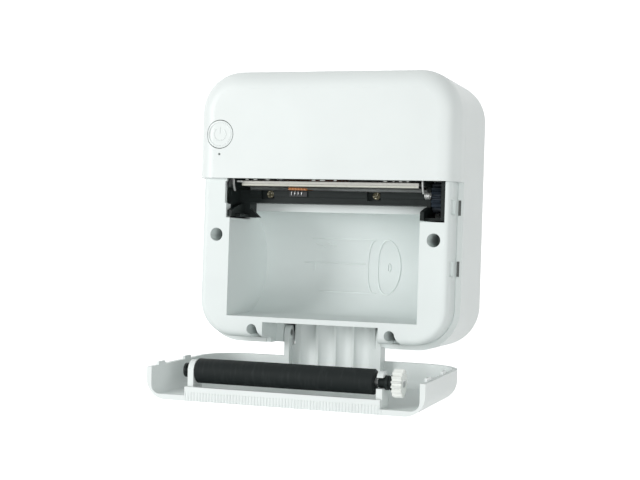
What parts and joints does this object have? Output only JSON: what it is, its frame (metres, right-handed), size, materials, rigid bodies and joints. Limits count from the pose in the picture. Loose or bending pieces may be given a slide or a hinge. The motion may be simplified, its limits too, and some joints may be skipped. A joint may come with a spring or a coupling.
{
  "type": "portable receipt printer",
  "caption": "Pocket thermal printer with a rounded square case, a drop-down hinged lid carrying a driven platen roller, and a compartment for a narrow paper roll.",
  "frame": {"origin": "centre of the flat back, on which the printer lies", "axes": "+X across the case, +Y from the lid hinge to the button end, +Z out through the front"},
  "size_m": [0.085, 0.1016, 0.075],
  "materials": {
    "shell": "fine matte moulding",
    "frame": "fine matte moulding",
    "mechanism": "dark satin moulding",
    "gear": "satin moulding",
    "roller": "ground matte rubber",
    "steel": "satin steel",
    "motor": "plated can",
    "sink": "mill finish",
    "head": "glazed strip",
    "flex": "amber film",
    "board": "solder resist",
    "black_part": "moulded package",
    "light": "clear lens",
    "cell": "foil pouch"
  },
  "bodies": {
    "case": {"rear_shell": "shell", "front_cover": "shell", "inner_frame": "frame", "mech_frame": "mechanism", "hinge_pins": "steel", "drive_axle": "steel", "transfer_axle": "steel", "reduction_axle": "steel", "head_pivot": "steel", "head_springs": "steel", "head_clip_left": "steel", "head_clip_right": "steel", "mech_screws": "steel", "motor_screws": "steel", "board_screws": "steel", "case_screws": "steel", "usb_socket": "steel", "motor_body": "motor", "head_ribbon": "flex", "sensor_flex": "flex", "main_board": "board", "board_chips": "black_part", "paper_sensor": "black_part", "ribbon_socket": "black_part", "tact_switch": "black_part", "status_light": "light", "battery": "cell"},
    "lid": {"lid": "shell", "platen_bushing_left": "mechanism", "platen_bushing_right": "mechanism"},
    "platen": {"platen_shaft": "steel", "platen_rubber": "roller", "platen_gear": "gear"},
    "drive_gear": {"drive_gear": "mechanism"},
    "transfer_gear": {"transfer_gear": "gear"},
    "reduction_gear": {"reduction_gear": "gear"},
    "motor_rotor": {"motor_shaft": "steel", "motor_pinion": "gear"},
    "print_head": {"thermal_head": "head", "head_sink": "sink"},
    "power_button": {"power_button": "shell"}
  },
  "joints": [
    {"name": "lid_hinge", "type": "hinge", "parent": "case", "child": "lid", "pos_m": [0, -0.03995, 0.0269], "axis": [1, 0, 0], "range_deg": [-91.5, 0]},
    {"name": "platen_spin", "type": "hinge", "parent": "lid", "child": "platen", "pos_m": [0, -0.04992, 0.06955], "axis": [1, 0, 0], "continuous": true},
    {"name": "drive_spin", "type": "hinge", "parent": "case", "child": "drive_gear", "pos_m": [0, 0.00459, 0.02782], "axis": [1, 0, 0], "continuous": true},
    {"name": "transfer_spin", "type": "hinge", "parent": "case", "child": "transfer_gear", "pos_m": [0, 0.01269, 0.02782], "axis": [1, 0, 0], "continuous": true},
    {"name": "reduction_spin", "type": "hinge", "parent": "case", "child": "reduction_gear", "pos_m": [0, 0.01791, 0.02429], "axis": [1, 0, 0], "continuous": true},
    {"name": "motor_spin", "type": "hinge", "parent": "case", "child": "motor_rotor", "pos_m": [0, 0.02359, 0.0324], "axis": [1, 0, 0], "continuous": true},
    {"name": "head_tilt", "type": "hinge", "parent": "case", "child": "print_head", "pos_m": [0, 0.0082, 0.0265], "axis": [-1, 0, 0], "range_deg": [0, 1.5], "stiffness_Nm_per_rad": 0.5, "springref_deg": -11.46, "deforming": ["head_springs", "head_ribbon"]},
    {"name": "button_press", "type": "slide", "parent": "case", "child": "power_button", "axis": [0, 0, -1], "range_m": [0, 0.0005], "stiffness_N_per_m": 400, "springref_m": -0.001}
  ],
  "couplings": [
    {"joint": "transfer_spin", "follows": "drive_spin", "ratio": -1.25},
    {"joint": "reduction_spin", "follows": "drive_spin", "ratio": 1.6667},
    {"joint": "motor_spin", "follows": "drive_spin", "ratio": -4.4444}
  ]
}
